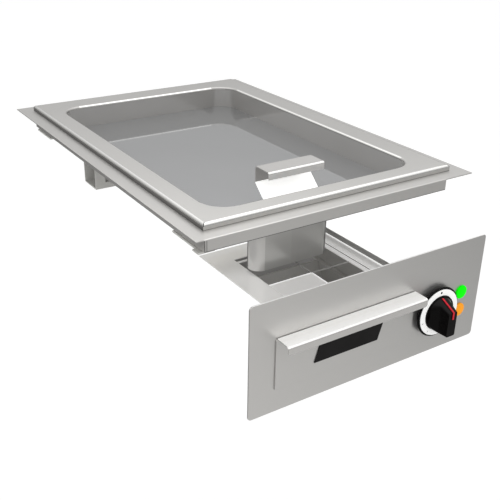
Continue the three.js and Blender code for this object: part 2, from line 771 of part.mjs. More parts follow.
function makeCover() {
  const plate = box(coverLeft, coverRight, coverFront, coverBack, coverBottom, coverTop);
  const upstand = box(coverRight - coverSheet, coverRight, coverFront, coverBack, coverBottom,
    coverTop + coverUpstand);
  const fold = box(coverLeft, coverRight, coverFront, coverFront + coverSheet,
    coverTop - coverFrontFold, coverTop);
  const low = coverBottom - overrun;
  const high = coverTop + overrun;
  const windows = [
    box(windowLeft, windowCrossX - windowRib / 2, windowCrossY + windowRib / 2, windowBack, low, high),
    box(windowCrossX + windowRib / 2, windowRight, windowCrossY + windowRib / 2, windowBack, low, high),
    box(windowCrossX + windowRib / 2, windowRight, windowFront, windowCrossY - windowRib / 2, low, high),
    box(windowLeft, windowRight, slotFront, slotFront + slotWidth, low, high),
  ];
  add('lower_cover', cut(join(plate, upstand, fold), ...windows), steel());

  const landTop = coverBottom - seatGap;
  const path = [
    [windowLeft - deflectorLand, landTop],
    [windowLeft, landTop],
    [windowLeft + deflectorSteepRun, landTop - deflectorSteepDrop],
    [windowLeft + deflectorRun, landTop - deflectorDrop],
  ];
  const deflectorBack = windowBack + deflectorLand / 2;
  add('drip_deflector', alongY(bentStrip(path, deflectorSheet), windowCrossY, deflectorBack), steel());

  const shelfTop = trayTop - traySheet - seatGap;
  for (const [side, edge, sign] of [['left', trayLeft, -1], ['right', trayRight, 1]]) {
    const webInner = edge + sign * (trayFlange + runnerSideGap);
    const webOuter = webInner + sign * runnerSheet;
    const shelfInner = webInner - sign * runnerShelf;
    const flangeOuter = webInner + sign * runnerTopFlange;
    const start = coverFront + coverSheet + seatGap;
    const end = housingFront - seatGap;
    const span = (a, b, z0, z1) => box(Math.min(a, b), Math.max(a, b), start, end, z0, z1);
    const web = span(webInner, webOuter, shelfTop - runnerSheet, landTop);
    const shelf = span(shelfInner, webOuter, shelfTop - runnerSheet, shelfTop);
    const flange = span(webInner, flangeOuter, landTop - runnerSheet, landTop);
    const runner = join(web, shelf, flange);
    const notch = box(windowLeft, windowLeft + deflectorRun, windowCrossY - seatGap, end + overrun,
      landTop - runnerNotch, landTop + overrun);
    add(`drawer_runner_${side}`, side === 'left' ? cut(runner, notch) : runner, darkSteel());
  }

  const housingLeft = trayLeft - trayFlange - runnerSideGap - runnerTopFlange;
  const housingRight = trayRight + trayFlange + runnerSideGap + runnerTopFlange;
  const housingFoot = trayBottom - housingBottomMargin;
  const housingWeb = alongY([
    [housingLeft, landTop],
    [housingLeft, landTop - housingLeftFall],
    [housingLeft + housingSlantRun, housingFoot],
    [housingRight + housingRightStep, housingFoot],
    [housingRight + housingRightStep, shelfTop - runnerSheet],
    [housingRight, shelfTop - runnerSheet],
    [housingRight, landTop],
  ], housingFront, housingBack);
  const housingTop = box(housingLeft, housingRight, housingFront - housingFlange, housingBack,
    landTop - housingSheet, landTop);
  const runnerRoom = [
    [housingLeft - overrun, housingLeft + runnerTopFlange + runnerSheet + seatGap],
    [housingRight - runnerTopFlange - runnerSheet - seatGap, housingRight + overrun],
  ].map(([x0, x1]) => box(x0, x1, housingFront - housingFlange - overrun, housingFront,
    landTop - housingSheet - overrun, landTop + overrun));
  add('housing_rear', join(housingWeb, cut(housingTop, ...runnerRoom)), darkSteel());

  const hangerBack = coverBack - hangerInset;
  const hangerFront = hangerBack - hangerSheet;
  const hangerTop = channelBottom - seatGap;
  const hangerBottom = coverTop + seatGap;
  const hangerRight = coverRight - hangerRightMargin;
  const hangerLeft = hangerRight - hangerWidth;
  const web = box(hangerLeft, hangerRight, hangerFront, hangerBack, hangerBottom, hangerTop);
  const foot = box(hangerLeft, hangerRight, hangerBack - hangerFoot, hangerBack, hangerBottom,
    hangerBottom + hangerSheet);
  const head = box(hangerLeft, hangerRight, hangerBack - hangerFoot, hangerBack,
    hangerTop - hangerSheet, hangerTop);
  add('hanger_bracket', join(web, foot, head), darkSteel());
}

function makeControls() {
  const bezelBack = panelFront - seatGap;
  add('knob_bezel', turnedY([
    [potBushRadius + shaftHoleGap, bezelFront],
    [bezelRadius - overrun, bezelFront],
    [bezelRadius, bezelFront + overrun],
    [bezelRadius, bezelFront + bezelRim],
    [bezelBodyRadius, bezelFront + bezelRim],
    [bezelBodyRadius, bezelBack],
    [nutRadius + shaftHoleGap, bezelBack],
    [nutRadius + shaftHoleGap, bezelBack - nutThickness - overrun],
    [potBushRadius + shaftHoleGap, bezelBack - nutThickness - overrun],
    [potBushRadius + shaftHoleGap, bezelFront],
  ].reverse(), knobX, knobZ), plastic(0x0d0b0c));
  const dialBack = bezelFront - seatGap;
  add('dial_ring', turnedY([
    [dialInnerRadius, dialBack],
    [dialInnerRadius, dialBack - dialThickness],
    [dialOuterRadius, dialBack - dialThickness],
    [dialOuterRadius, dialBack],
    [dialInnerRadius, dialBack],
  ], knobX, knobZ), plastic(0xf2f1ee));

  const knobBack = bezelFront - knobRunningGap;
  const wingBase = knobBack - knobBaseHeight;
  const wingFront = knobBack - knobHeight;
  const base = discY(knobBaseRadius, knobX, knobZ, wingBase, knobBack);
  const wingLayer = (share, width, corner) => {
    const top = knobFootTop + (knobWingTop - knobFootTop) * share;
    const height = top + knobWingBottom;
    return {
      outline: roundedOutline(width, height, corner, knobX, knobZ + (top - knobWingBottom) / 2),
      z: -wingBase - (wingFront - wingBase) * share,
    };
  };
  const wing = loft([
    wingLayer(0, knobFootWidth, knobFootCorner),
    wingLayer(knobWaistShare, knobWaistWidth, knobWaistCorner),
    wingLayer(1, knobWingWidth, knobWingCorner),
  ]);
  const baseOverWing = discY(knobFootWidth / 2, knobX, knobZ, wingBase - overrun, knobBack);
  const shaftSocket = discY(shaftRadius + seatGap, knobX, knobZ, wingBase, knobBack + overrun);
  const uprightWing = swapAxes(wing, axisX, axisZ, axisY.clone().negate());
  add('control_knob', cut(join(base, baseOverWing, uprightWing), shaftSocket), plastic(0x0b0a0b));

  const slope = new THREE.Vector2(wingFront - wingBase, knobWingTop - knobFootTop).normalize();
  const slopeLift = [slope.y * seatGap, -slope.x * seatGap];
  const markFront = wingFront - seatGap;
  const markPath = [
    [wingBase + slope.x * overrun + slopeLift[0], knobZ + knobFootTop + slope.y * overrun + slopeLift[1]],
    [markFront, knobZ + knobWingTop + seatGap],
    [markFront, knobZ + knobWingTop - pointerFall],
  ];
  const mark = alongX(bentStrip(markPath, pointerThickness), knobX - pointerWidth / 2,
    knobX + pointerWidth / 2);
  add('knob_pointer', mark, plastic(0xd8222a));

  const shaftEnd = wingBase + seatGap;
  const shaftStart = panelBack + seatGap;
  add('pot_shaft', discY(shaftRadius, knobX, knobZ, shaftEnd, shaftStart), darkSteel());
  const potFront = panelBack + seatGap;
  const potBody = turnedY([
    [shaftRadius + seatGap, bezelBack - nutThickness - nutThickness],
    [potBushRadius, bezelBack - nutThickness - nutThickness],
    [potBushRadius, potFront],
    [potRadius, potFront],
    [potRadius, potFront + potLength],
    [0, potFront + potLength],
    [0, shaftStart + seatGap],
    [shaftRadius + seatGap, shaftStart + seatGap],
    [shaftRadius + seatGap, bezelBack - nutThickness - nutThickness],
  ], knobX, knobZ);
  add('potentiometer', potBody, darkSteel());
  const nutHole = discY(potBushRadius + seatGap, knobX, knobZ, bezelBack - nutThickness - overrun, bezelBack + overrun);
  const nut = new THREE.CylinderGeometry(nutRadius, nutRadius, nutThickness, 6);
  nut.translate(knobX, bezelBack - nutThickness / 2, knobZ);
  add('pot_nut', cut(nut, nutHole), darkSteel());

  for (const [name, z, color] of [['green', lampUpperZ, 0x07f50c], ['orange', lampLowerZ, 0xf89831]]) {
    const lens = [[0, panelFront - seatGap - lampDome]];
    for (let step = 1; step <= arcSteps; step += 1) {
      const angle = ((step / arcSteps) * Math.PI) / 2;
      lens.push([lampRadius * Math.sin(angle),
        panelFront - seatGap - plateSheet - (lampDome - plateSheet) * Math.cos(angle)]);
    }
    lens.push([lampRadius, panelFront - seatGap], [0, panelFront - seatGap]);
    add(`lamp_lens_${name}`, turnedY(lens, lampX, z), plastic(color));
    add(`lamp_body_${name}`, discY(lampBodyRadius, lampX, z, panelFront, panelFront + lampBodyLength),
      plastic(0x2a2a2c));
  }
}

makeTopFrame();
makeSkirts();
makeGriddlePlate();
makeDrainChute();
makeDrainPlug();
makeHeating();
makeChannels();
makeFrontPanel();
makeDrawer();
makeCover();
makeControls();

export default griddle;
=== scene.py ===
# The looks of the built-in induction griddle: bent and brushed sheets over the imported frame, the
# moulded controls, the room that the steel mirrors, and the camera. Materials, camera and room are in
# metres and the sheet work is in millimetres, all in the frame's own axes.
import json
import math

import bmesh
import bpy
from mathutils import Matrix, Vector

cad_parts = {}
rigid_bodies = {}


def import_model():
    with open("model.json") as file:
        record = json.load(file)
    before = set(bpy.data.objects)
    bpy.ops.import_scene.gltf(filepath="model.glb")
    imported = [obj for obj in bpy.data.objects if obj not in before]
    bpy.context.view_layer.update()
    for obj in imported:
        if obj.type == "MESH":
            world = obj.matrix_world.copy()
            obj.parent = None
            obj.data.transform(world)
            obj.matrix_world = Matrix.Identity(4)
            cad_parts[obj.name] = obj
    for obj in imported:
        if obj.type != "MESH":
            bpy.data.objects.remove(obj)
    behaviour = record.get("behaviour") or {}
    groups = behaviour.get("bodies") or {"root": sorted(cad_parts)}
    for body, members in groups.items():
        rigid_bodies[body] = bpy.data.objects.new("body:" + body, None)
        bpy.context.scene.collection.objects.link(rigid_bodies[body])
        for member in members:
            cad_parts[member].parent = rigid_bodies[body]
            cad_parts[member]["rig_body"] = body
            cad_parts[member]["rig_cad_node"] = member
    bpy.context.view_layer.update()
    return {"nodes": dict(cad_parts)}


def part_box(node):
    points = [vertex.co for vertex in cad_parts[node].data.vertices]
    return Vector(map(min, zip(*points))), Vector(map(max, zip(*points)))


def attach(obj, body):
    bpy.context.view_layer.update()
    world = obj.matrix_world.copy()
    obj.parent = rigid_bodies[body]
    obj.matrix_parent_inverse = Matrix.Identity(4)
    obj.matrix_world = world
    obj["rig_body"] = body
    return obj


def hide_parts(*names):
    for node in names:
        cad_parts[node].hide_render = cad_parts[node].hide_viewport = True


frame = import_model()
MM = 0.001
WHITE = (1.0, 1.0, 1.0, 1.0)


def mm(*lengths):
    return tuple(length * MM for length in lengths)


def middle(limits):
    return sum(limits) / 2


def span(limits):
    return limits[1] - limits[0]


# A node's lowest and highest place along X, Y and Z, in millimetres to a hundredth
def reach(node_name):
    low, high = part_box(node_name)
    return [(round(a / MM, 2), round(b / MM, 2)) for a, b in zip(low, high)]


# Shared by the finishes and the sheet work, in millimetres: the worktop's size and the dial's face
WORKTOP_X, WORKTOP_Y, WORKTOP_Z = reach("top_frame")
FLANGE_WIDTH = 20.0
DIAL_REACH = reach("dial_ring")
DIAL_X, DIAL_FACE, DIAL_Z = middle(DIAL_REACH[0]), DIAL_REACH[1][0], middle(DIAL_REACH[2])


# The camera at the photograph's viewing angle, in degrees and metres
VIEW_AZIMUTH, VIEW_ELEVATION, VIEW_ROLL = -33.377, 25.862, 0.986
VIEW_PLACE = (-0.5463, -0.6364, 0.3392)
VIEW_LENS, VIEW_SENSOR, VIEW_NEAR = 56.18, 36.0, 0.05


def place_camera():
    azimuth, elevation, roll = (math.radians(a) for a in (VIEW_AZIMUTH, VIEW_ELEVATION, VIEW_ROLL))
    back = Vector((
        math.sin(azimuth) * math.cos(elevation),
        -math.cos(azimuth) * math.cos(elevation),
        math.sin(elevation),
    ))
    level = Vector((math.cos(azimuth), math.sin(azimuth), 0.0))
    upright = back.cross(level)
    right = math.cos(roll) * level + math.sin(roll) * upright
    up = math.cos(roll) * upright - math.sin(roll) * level
    place = Matrix((right, up, back)).transposed().to_4x4()
    place.translation = Vector(VIEW_PLACE)
    bpy.ops.object.camera_add()
    camera = bpy.context.object
    camera.name = "photo_camera"
    camera.data.lens = VIEW_LENS
    camera.data.sensor_width = VIEW_SENSOR
    camera.data.clip_start = VIEW_NEAR
    camera.matrix_world = place
    bpy.context.scene.camera = camera


# The node graph of a material or of the world
class Graph:
    def __init__(self, owner):
        self.owner = owner
        owner.use_nodes = True
        self.tree = owner.node_tree
        self.tree.nodes.clear()

    def feed(self, socket, value):
        if isinstance(value, bpy.types.NodeSocket):
            self.tree.links.new(value, socket)
        else:
            socket.default_value = value

    def node(self, kind, settings=None, **inputs):
        made = self.tree.nodes.new(kind)
        for key, value in (settings or {}).items():
            setattr(made, key, value)
        for key, value in inputs.items():
            self.feed(made.inputs[key.replace("_", " ")], value)
        return made

    def join(self, kind, *values, **settings):
        made = self.node(kind, settings)
        for socket, value in zip(made.inputs, values):
            self.feed(socket, value)
        return made.outputs[0]

    def work_out(self, operation, *values):
        return self.join("ShaderNodeMath", *values, operation=operation)

    def apart(self, first, second):
        return self.work_out("ABSOLUTE", self.work_out("SUBTRACT", first, second))

    def between(self, value, low, high):
        over = self.work_out("GREATER_THAN", value, low)
        return self.work_out("MULTIPLY", over, self.work_out("LESS_THAN", value, high))

    def place(self):
        return self.node("ShaderNodeTexCoord").outputs["Object"]

    def axes(self, place):
        return self.node("ShaderNodeSeparateXYZ", Vector=place).outputs

    def grain(self, stretch, scale, detail):
        pulled = self.node("ShaderNodeMapping", Vector=self.place(), Scale=stretch).outputs["Vector"]
        return self.node("ShaderNodeTexNoise", Vector=pulled, Scale=scale, Detail=detail).outputs["Fac"]

    def spread(self, value, low, high):
        return self.node("ShaderNodeMapRange", Value=value, From_Min=GRAIN_LOW, From_Max=GRAIN_HIGH,
                         To_Min=low, To_Max=high).outputs["Result"]

    def tint(self, value, dark, light, start, end):
        ramp = self.node("ShaderNodeValToRGB", Fac=value)
        for stop, place, colour in zip(ramp.color_ramp.elements, (start, end), (dark, light)):
            stop.position = place
            stop.color = (*colour, 1.0)
        return ramp.outputs["Color"]

    def greys(self, value, tones, blue=1.0):
        ramp = self.node("ShaderNodeValToRGB", Fac=value)
        stops = ramp.color_ramp.elements
        while len(stops) < len(tones):
            stops.new(0.5)
        for stop, (place, share) in zip(stops, tones):
            stop.position = place
            stop.color = (share, share, share * blue, 1.0)
        return ramp.outputs["Color"]

    def bump(self, height, strength, distance):
        return self.node("ShaderNodeBump", Height=height, Strength=strength,
                         Distance=distance).outputs["Normal"]

    def finish(self, surface, output="ShaderNodeOutputMaterial"):
        self.node(output, Surface=surface)
        return self.owner


def new_finish(name):
    return Graph(bpy.data.materials.new(name))


# Grain: how the noise is stretched, its scales per metre, the part of it that shows, and its depths
ALONG_X, ALONG_Y, ALONG_Z = (0.02, 1.0, 1.0), (1.0, 0.02, 1.0), (1.0, 1.0, 0.02)
ALL_ROUND = (1.0, 1.0, 1.0)
BRUSH_LINES, STEEL_CLOUDS, MOULD_CLOUDS, LENS_CLOUDS, PRINT_PORES = 2400.0, 9.0, 40.0, 260.0, 2600.0
FINE_DETAIL, CLOUD_DETAIL = 2.0, 3.0
GRAIN_LOW, GRAIN_HIGH = 0.3, 0.7
SCRATCH_DEPTH, PORE_DEPTH, PRINT_DEPTH = 0.00002, 0.00004, 0.00003

# What full darkening leaves of a colour, at painted shade and at mitre lines, and the sockets of the
# colour kind of Mix
SHADED = (0.1, 0.1, 0.1, 1.0)
MIX_INPUTS, MIX_OUTPUT = (0, 6, 7), 2


# Brushed or polished sheet, darkened where its darkening pattern gives a share (painted shade towards
# the far corner, and the rim's dark mitre lines), with a painted glow where one is set
def steel_sheet(name, dark, light, stretch, roughness, wear=0.03, metallic=1.0, relief=0.04,
                shade_and_seam=None, painted_glow=0.0):
    graph = new_finish(name)
    scratches = graph.grain(stretch, BRUSH_LINES, FINE_DETAIL)
    clouds = graph.grain(ALL_ROUND, STEEL_CLOUDS, CLOUD_DETAIL)
    colour = graph.tint(clouds, dark, light, GRAIN_LOW, GRAIN_HIGH)
    if shade_and_seam:
        shaded = graph.node("ShaderNodeMix", {"data_type": "RGBA", "blend_type": "MULTIPLY"})
        for place, value in zip(MIX_INPUTS, (shade_and_seam(graph), colour, SHADED)):
            graph.feed(shaded.inputs[place], value)
        colour = shaded.outputs[MIX_OUTPUT]
    shader = graph.node(
        "ShaderNodeBsdfPrincipled",
        Base_Color=colour,
        Metallic=metallic,
        Roughness=graph.spread(scratches, roughness - wear, roughness + wear),
        Normal=graph.bump(scratches, relief, SCRATCH_DEPTH),
        Emission_Color=colour,
        Emission_Strength=painted_glow,
    )
    return graph.finish(shader.outputs[0])


# Painted light and shade: a sheet whose tone runs evenly from one place in millimetres to another, with
# a painted glow where one is set
RAMP_PAINTED_GLOW = (1.0, 0.99, 0.97, 1.0)
FOLD_WEAR, FOLD_RELIEF = 0.02, 0.02


def painted_light_ramp(name, first, last, start, end, axis="Z", metallic=0.8, roughness=0.33, painted_glow=0.0):
    graph = new_finish(name)
    place = graph.axes(graph.place())[axis]
    share = graph.node("ShaderNodeMapRange", Value=place, From_Min=start * MM,
                       From_Max=end * MM).outputs["Result"]
    scratches = graph.grain(ALONG_X, BRUSH_LINES, FINE_DETAIL)
    shader = graph.node(
        "ShaderNodeBsdfPrincipled",
        Base_Color=graph.tint(share, first, last, 0.0, 1.0),
        Metallic=metallic,
        Roughness=graph.spread(scratches, roughness - FOLD_WEAR, roughness + FOLD_WEAR),
        Normal=graph.bump(scratches, FOLD_RELIEF, SCRATCH_DEPTH),
        Emission_Color=RAMP_PAINTED_GLOW,
        Emission_Strength=painted_glow,
    )
    return graph.finish(shader.outputs[0])


MOULD_WEAR = 0.06


def moulded(name, dark, light, roughness, grain=1800.0, depth=0.15, gloss=0.5):
    graph = new_finish(name)
    pores = graph.grain(ALL_ROUND, grain, FINE_DETAIL)
    clouds = graph.grain(ALL_ROUND, MOULD_CLOUDS, CLOUD_DETAIL)
    shader = graph.node(
        "ShaderNodeBsdfPrincipled",
        Base_Color=graph.tint(clouds, dark, light, GRAIN_LOW, GRAIN_HIGH),
        Roughness=graph.spread(pores, roughness - MOULD_WEAR, roughness + MOULD_WEAR),
        Specular_IOR_Level=gloss,
        Normal=graph.bump(pores, depth, PORE_DEPTH),
    )
    return graph.finish(shader.outputs[0])


LENS_ROUGHNESS, LENS_GLOSS = (0.35, 0.5), 0.05


def lamp_glass(name, dark, light, glow):
    graph = new_finish(name)
    clouds = graph.grain(ALL_ROUND, LENS_CLOUDS, FINE_DETAIL)
    colour = graph.tint(clouds, dark, light, GRAIN_LOW, GRAIN_HIGH)
    shader = graph.node(
        "ShaderNodeBsdfPrincipled",
        Base_Color=colour,
        Roughness=graph.spread(clouds, *LENS_ROUGHNESS),
        Specular_IOR_Level=LENS_GLOSS,
        Emission_Color=colour,
        Emission_Strength=glow,
    )
    return graph.finish(shader.outputs[0])


# The ground mitre at each corner of the raised rim, a thin dark line
RIM_HALF_WIDTH = (span(WORKTOP_X) / 2 - FLANGE_WIDTH) * MM
RIM_HALF_LENGTH = (span(WORKTOP_Y) / 2 - FLANGE_WIDTH) * MM
RIM_MIDDLE = middle(WORKTOP_Y) * MM
MITRE_HALF_LINE, MITRE_INNER, MITRE_OUTER = 0.0007, -0.0036, 0.001


def mitre_seam(graph):
    axes = graph.axes(graph.place())
    across = graph.work_out("SUBTRACT", graph.work_out("ABSOLUTE", axes["X"]), RIM_HALF_WIDTH)
    along = graph.work_out("SUBTRACT", graph.apart(axes["Y"], RIM_MIDDLE), RIM_HALF_LENGTH)
    line = graph.work_out("LESS_THAN", graph.apart(across, along), MITRE_HALF_LINE)
    return graph.work_out("MULTIPLY", line, graph.between(across, MITRE_INNER, MITRE_OUTER))


# Painted shade on the worktop's and the griddle's steel, lightest at the front left corner: shares of
# painted shade by the way to the far corner
CORNER_ALONG, CORNER_ACROSS = 1.2, 0.833
CORNER_PAINTED_SHADES = ((0.05, 0.0), (0.27, 0.144), (0.5, 0.256), (0.95, 0.34))


def painted_far_corner_shade(graph):
    axes = graph.axes(graph.place())
    along = graph.work_out("MULTIPLY", axes["Y"], CORNER_ALONG)
    from_left = graph.work_out("ADD", axes["X"], WORKTOP_X[1] * MM)
    across = graph.work_out("MULTIPLY", from_left, CORNER_ACROSS)
    return graph.greys(graph.work_out("ADD", along, across), CORNER_PAINTED_SHADES)


# White print with faint grey ticks round the knob's axis, left bare at its upper part, with a faint
# painted glow
TICKS, TICK_SHARE = 10.0, 0.05
TICK_START, TICK_END, TICK_TOP = 0.0285, 0.0315, 0.004
PRINT_WHITE, PRINT_GREY, PRINT_EDGES = (0.99, 0.99, 0.985), (0.42, 0.42, 0.43), (0.1, 0.9)
PRINT_ROUGHNESS, PRINT_RELIEF, PRINT_PAINTED_GLOW = (0.3, 0.4), 0.05, 0.12


def dial_print(name):
    graph = new_finish(name)
    centred = graph.node("ShaderNodeMapping", Vector=graph.place(), Location=mm(-DIAL_X, 0.0, -DIAL_Z),
                         Scale=(1.0, 0.0, 1.0)).outputs["Vector"]
    axes = graph.axes(centred)
    turn = graph.work_out("ARCTAN2", axes["X"], axes["Z"])
    steps = graph.work_out("ADD", graph.work_out("MULTIPLY", turn, TICKS / (2.0 * math.pi)), 0.5)
    offset = graph.apart(graph.work_out("FRACT", steps), 0.5)
    line = graph.work_out("LESS_THAN", offset, TICK_SHARE)
    radius = graph.node("ShaderNodeVectorMath", {"operation": "LENGTH"}, Vector=centred).outputs["Value"]
    ticks = graph.work_out("MULTIPLY", line, graph.between(radius, TICK_START, TICK_END))
    ink = graph.work_out("MULTIPLY", ticks, graph.work_out("LESS_THAN", axes["Z"], TICK_TOP))
    pores = graph.grain(ALL_ROUND, PRINT_PORES, FINE_DETAIL)
    shader = graph.node(
        "ShaderNodeBsdfPrincipled",
        Base_Color=graph.tint(ink, PRINT_WHITE, PRINT_GREY, *PRINT_EDGES),
        Roughness=graph.spread(pores, *PRINT_ROUGHNESS),
        Normal=graph.bump(pores, PRINT_RELIEF, PRINT_DEPTH),
        Emission_Color=WHITE,
        Emission_Strength=PRINT_PAINTED_GLOW,
    )
    return graph.finish(shader.outputs[0])


finishes = {
    # The worktop's steel, with painted shade towards its far corner
    "frame": steel_sheet("worktop_brushed_steel", (0.57, 0.56, 0.545), (0.595, 0.585, 0.57),
                         ALONG_X, 0.38, metallic=0.65, shade_and_seam=painted_far_corner_shade),
    "bend": steel_sheet("polished_bend_steel", (0.64, 0.635, 0.62), (0.67, 0.665, 0.65),
                        ALONG_X, 0.2, shade_and_seam=mitre_seam),
    # Painted shade on the rim's walls: the left and right walls dark, darkest at the foot, and a dark
    # painted line at the foot of the front and back walls
    "rim_side": painted_light_ramp("rim_side_painted_shade_steel", (0.07, 0.068, 0.065), (0.18, 0.175, 0.17), 1.0, 6.5),
    "rim_front": painted_light_ramp("rim_foot_painted_shade_steel", (0.10, 0.098, 0.095), (0.56, 0.55, 0.535), 1.2, 2.2),
    "pan_wall": steel_sheet("pan_wall_steel", (0.54, 0.53, 0.515), (0.57, 0.56, 0.545),
                            ALONG_X, 0.1, wear=0.02, metallic=0.7),
    # The griddle's steel, with painted shade towards its far corner
    "griddle": steel_sheet("griddle_polished_steel", (0.42, 0.425, 0.432), (0.43, 0.435, 0.442),
                           ALONG_X, 0.05, wear=0.01, metallic=0.5, relief=0.0, shade_and_seam=painted_far_corner_shade),
    # Painted light and shade on the panel and the drawer's front: lighter at the left, darker towards
    # the right
    "panel": painted_light_ramp("panel_steel_painted_shade", (0.59, 0.585, 0.575), (0.715, 0.705, 0.69),
                        235.0, -134.0, "X", metallic=0.85, roughness=0.37),
    # Painted light on the cover: lighter towards the front, with a painted glow
    "cover": painted_light_ramp("cover_steel_painted_light", (0.80, 0.79, 0.775), (0.98, 0.97, 0.955),
                        150.0, 30.0, "Y", metallic=0.3, roughness=0.1, painted_glow=0.2),
    # The cover's tiles, with a painted glow
    "tile": steel_sheet("cover_tile_painted_glow_steel", (0.88, 0.87, 0.855), (0.90, 0.89, 0.875),
                        ALONG_X, 0.3, wear=0.01, metallic=0.15, relief=0.01, painted_glow=0.2),
    # Dark lines: the cover's seam, painted shade along the lip's lower edge and on the chute's ends
    # where they turn away, and two dark lines painted near the lip's left end
    "seam": steel_sheet("seam_and_painted_shade_steel", (0.10, 0.098, 0.095), (0.13, 0.128, 0.125),
                        ALONG_Y, 0.4, metallic=0.3),
    # Painted shade on the cover's upstand, whose face turns away from the light
    "upstand": steel_sheet("cover_upstand_painted_shade_steel", (0.36, 0.355, 0.345), (0.38, 0.375, 0.365),
                           ALONG_Y, 0.4, metallic=0.3),
    # Painted shade: a darker copy of the cover's steel on the ribs between its windows
    "rib": steel_sheet("cover_rib_painted_shade_steel", (0.50, 0.49, 0.48), (0.54, 0.53, 0.52),
                       ALONG_X, 0.4, metallic=0.3),
    "chute": steel_sheet("chute_rolled_steel", (0.465, 0.46, 0.445), (0.485, 0.48, 0.465),
                         ALONG_Z, 0.22, wear=0.01, metallic=0.3, relief=0.005),
    # Painted reflections on the chute: a lighter left half and a light round left end
    "chute_left_painted_light": steel_sheet("chute_left_painted_light_steel", (0.49, 0.485, 0.47), (0.52, 0.515, 0.50),
                              ALONG_Z, 0.22, wear=0.01, metallic=0.3, relief=0.005),
    "chute_end_painted_highlight": steel_sheet("chute_round_end_painted_highlight_steel", (0.66, 0.65, 0.635), (0.69, 0.68, 0.665),
                             ALONG_Z, 0.26, wear=0.01, metallic=0.3, relief=0.005),
    "grip": steel_sheet("plug_brushed_steel", (0.54, 0.53, 0.515), (0.57, 0.56, 0.545),
                        ALONG_X, 0.26, wear=0.01, metallic=0.6, relief=0.015),
    # Painted light: a lighter copy of the plug's steel on its front lip
    "grip_lip": steel_sheet("plug_lip_painted_light_steel", (0.70, 0.69, 0.675), (0.73, 0.72, 0.705),
                            ALONG_X, 0.3, wear=0.01, metallic=0.25, relief=0.015),
    # Painted highlight lines with a glow: the plug's and the handle's front folds and the panel's top
    # edge
    "bright": steel_sheet("painted_highlight_steel", (0.93, 0.925, 0.915), (0.95, 0.945, 0.935),
                          ALONG_X, 0.3, metallic=0.1, relief=0.01, painted_glow=0.1),
    # Painted white highlight with a strong glow: the plug's slanted blade, and thin lines along the
    # cover's tile edges and upstand fold
    "blade": steel_sheet("painted_white_highlight_steel", (0.96, 0.96, 0.95), (0.98, 0.98, 0.97),
                         ALONG_X, 0.4, metallic=0.1, relief=0.01, painted_glow=0.55),
    "handle": steel_sheet("handle_brushed_steel", (0.59, 0.58, 0.565), (0.61, 0.60, 0.585),
                          ALONG_X, 0.26, wear=0.01, metallic=0.6, relief=0.01),
    # Painted light on the handle's top: lightest at its front, greyer towards the back, with a painted
    # glow
    "handle_top": painted_light_ramp("handle_top_painted_light_steel", (0.97, 0.965, 0.95), (0.84, 0.835, 0.82),
                             -34.0, -22.0, "Y", metallic=0.1, roughness=0.3, painted_glow=0.12),
    "channel": steel_sheet("channel_mill_steel", (0.58, 0.575, 0.55), (0.64, 0.635, 0.61),
                           ALONG_X, 0.45, metallic=0.25),
    "inner": steel_sheet("inner_mill_steel", (0.54, 0.53, 0.51), (0.60, 0.59, 0.57),
                         ALONG_Y, 0.5, metallic=0.15, relief=0.1),
    # Painted shade: the rear housing's steel is made dark, as the shade seen through the cover's windows
    "housing": steel_sheet("housing_painted_shade_steel", (0.22, 0.215, 0.21), (0.26, 0.255, 0.25),
                           ALONG_X, 0.5, metallic=0.15, relief=0.1),
    "carrier": steel_sheet("carrier_zinc_sheet", (0.76, 0.76, 0.75), (0.84, 0.84, 0.83),
                           ALONG_X, 0.45, metallic=0.2),
    "small": steel_sheet("turned_steel", (0.55, 0.55, 0.54), (0.62, 0.62, 0.61), ALONG_X, 0.3),
    "black": moulded("black_moulding", (0.0015, 0.0012, 0.0012), (0.0025, 0.002, 0.002), 0.26,
                     gloss=0.09),
    "bezel": moulded("bezel_black_moulding", (0.002, 0.002, 0.002), (0.004, 0.004, 0.004), 0.5,
                     gloss=0.08),
    "label": moulded("bare_plate_black_foil", (0.008, 0.0075, 0.0075), (0.012, 0.011, 0.011), 0.55,
                     grain=2600.0, depth=0.08, gloss=0.12),
    "dial": dial_print("dial_white_print"),
    "pointer": moulded("pointer_red_inlay", (0.62, 0.014, 0.03), (0.70, 0.02, 0.04), 0.45, gloss=0.2),
    "green": lamp_glass("green_lens_glass", (0.001, 0.80, 0.0015), (0.0015, 0.86, 0.002), 0.4),
    "orange": lamp_glass("orange_lens_glass", (0.76, 0.28, 0.016), (0.82, 0.31, 0.024), 0.34),
    "ferrite": moulded("sintered_ferrite", (0.035, 0.035, 0.038), (0.06, 0.06, 0.065), 0.7),
    "coil": moulded("varnished_litz_wire", (0.36, 0.15, 0.06), (0.48, 0.22, 0.09), 0.4,
                    grain=900.0, depth=0.5),
    "board": moulded("mineral_fibre_board", (0.62, 0.59, 0.52), (0.72, 0.69, 0.62), 0.85,
                     grain=700.0, depth=0.6),
    "terminal": moulded("terminal_moulding", (0.55, 0.52, 0.45), (0.62, 0.59, 0.52), 0.5),
}

# The finish of each node by the start of its name; the rest of the unit has the worktop's finish
finish_of = {
    "griddle_plate": "griddle", "drain_chute": "chute", "drain_plug": "grip", "plate_sensor": "small",
    "pot_shaft": "small", "potentiometer": "small", "pot_nut": "small", "knob_bezel": "bezel",
    "dial_ring": "dial", "control_knob": "black", "knob_pointer": "pointer", "blank_plate": "label",
    "lamp_body": "black", "lamp_lens_green": "green", "lamp_lens_orange": "orange",
    "insulation_sheet": "board", "terminal_block": "terminal", "front_panel": "panel",
    "drawer_front": "panel", "drawer_handle": "handle", "lower_cover": "cover",
    "grease_tray": "inner", "drip_deflector": "inner", "housing_rear": "housing",
    "coil_carrier": "carrier", "carrier_bolt": "small", "ferrite": "ferrite",
    "induction_coil": "coil", "front_channel": "channel", "rear_channel": "channel",
    "drawer_runner": "inner", "clamp": "channel",
}


